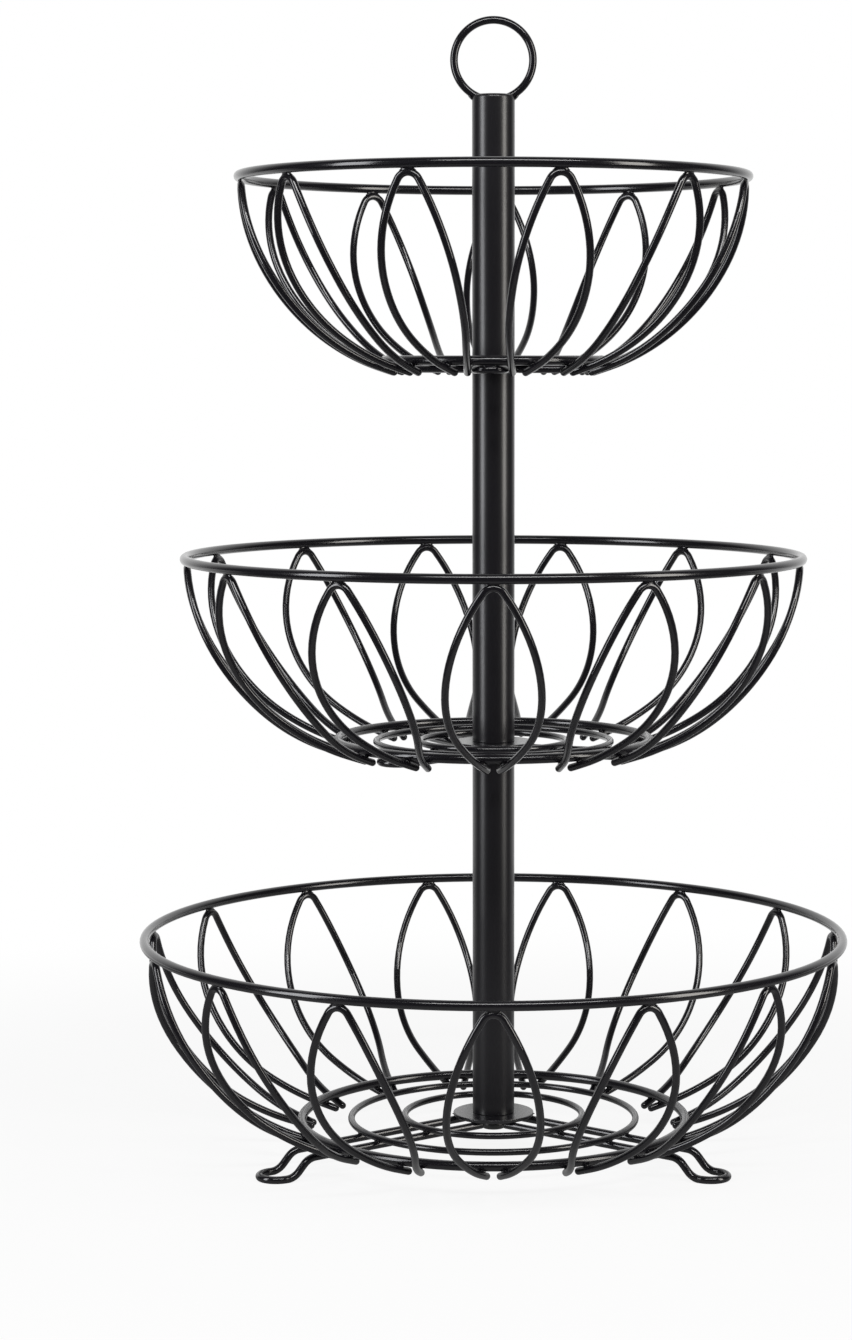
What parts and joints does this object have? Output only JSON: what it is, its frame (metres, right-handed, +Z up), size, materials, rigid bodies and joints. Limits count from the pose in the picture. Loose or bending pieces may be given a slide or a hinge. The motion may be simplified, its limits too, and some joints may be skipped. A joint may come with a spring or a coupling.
{
  "type": "tiered wire basket",
  "caption": "Free-standing tiered fruit basket: round wire bowls of petal loops on a screwed central pole, with a carry ring on top and hairpin wire feet.",
  "frame": {"origin": "on the table under the pole, midway between the three feet", "axes": "+Z up along the pole, -Y to the front that the picture shows, +X to the right seen from the front"},
  "size_m": [0.3204, 0.3204, 0.5112],
  "materials": {
    "wire_coat": "satin black powder coat on steel wire",
    "tube_coat": "satin black powder coat on steel tube",
    "plate_coat": "satin black powder coat on steel plate",
    "black_hardware": "black oxide steel",
    "zinc_hardware": "bright zinc plated steel"
  },
  "bodies": {
    "bottom_basket": {"bottom_rim": "wire_coat", "bottom_petals": "wire_coat", "bottom_base_ring": "wire_coat", "bottom_floor_ring_outer": "wire_coat", "bottom_floor_ring_inner": "wire_coat", "leg_front_right": "wire_coat", "leg_back": "wire_coat", "leg_front_left": "wire_coat", "bottom_hub_disc": "plate_coat", "bottom_bolt": "black_hardware", "bottom_bolt_washer": "black_hardware"},
    "lower_lock": {"lower_lock_washer": "zinc_hardware"},
    "lower_pole": {"lower_tube": "tube_coat", "lower_tube_bottom_plug": "zinc_hardware", "lower_tube_top_plug": "zinc_hardware", "lower_stud": "zinc_hardware"},
    "middle_basket": {"middle_rim": "wire_coat", "middle_petals": "wire_coat", "middle_base_ring": "wire_coat", "middle_floor_ring_outer": "wire_coat", "middle_floor_ring_inner": "wire_coat", "middle_hub_disc": "plate_coat", "middle_spokes": "wire_coat"},
    "middle_lock": {"middle_lock_washer": "zinc_hardware"},
    "middle_pole": {"middle_tube": "tube_coat", "middle_tube_bottom_plug": "zinc_hardware", "middle_tube_top_plug": "zinc_hardware", "middle_stud": "zinc_hardware"},
    "top_basket": {"top_rim": "wire_coat", "top_petals": "wire_coat", "top_base_ring": "wire_coat", "top_floor_ring": "wire_coat", "top_hub_disc": "plate_coat", "top_spokes": "wire_coat"},
    "top_lock": {"top_lock_washer": "zinc_hardware"},
    "top_pole": {"top_tube": "tube_coat", "top_tube_bottom_plug": "zinc_hardware", "handle_ring": "wire_coat"}
  },
  "joints": [
    {"name": "lower_lift", "type": "slide", "parent": "bottom_basket", "child": "lower_lock", "axis": [0, 0, 1], "range_m": [0, 0.008]},
    {"name": "lower_turn", "type": "hinge", "parent": "lower_lock", "child": "lower_pole", "pos_m": [0, 0, 0.01715], "axis": [0, 0, 1], "range_deg": [0, 2880]},
    {"name": "middle_lift", "type": "slide", "parent": "lower_pole", "child": "middle_lock", "axis": [0, 0, 1], "range_m": [0, 0.008]},
    {"name": "middle_turn", "type": "hinge", "parent": "middle_lock", "child": "middle_pole", "pos_m": [0, 0, 0.18805], "axis": [0, 0, 1], "range_deg": [0, 2880]},
    {"name": "top_lift", "type": "slide", "parent": "middle_pole", "child": "top_lock", "axis": [0, 0, 1], "range_m": [0, 0.008]},
    {"name": "top_turn", "type": "hinge", "parent": "top_lock", "child": "top_pole", "pos_m": [0, 0, 0.35895], "axis": [0, 0, 1], "range_deg": [0, 2880]},
    {"name": "middle_swivel", "type": "hinge", "parent": "lower_pole", "child": "middle_basket", "pos_m": [0, 0, 0.18805], "axis": [0, 0, 1], "continuous": true},
    {"name": "top_swivel", "type": "hinge", "parent": "middle_pole", "child": "top_basket", "pos_m": [0, 0, 0.35895], "axis": [0, 0, 1], "continuous": true}
  ],
  "couplings": [
    {"joint": "lower_turn", "follows": "lower_lift", "rad_per_m": 6283.2},
    {"joint": "middle_turn", "follows": "middle_lift", "rad_per_m": 6283.2},
    {"joint": "top_turn", "follows": "top_lift", "rad_per_m": 6283.2}
  ]
}
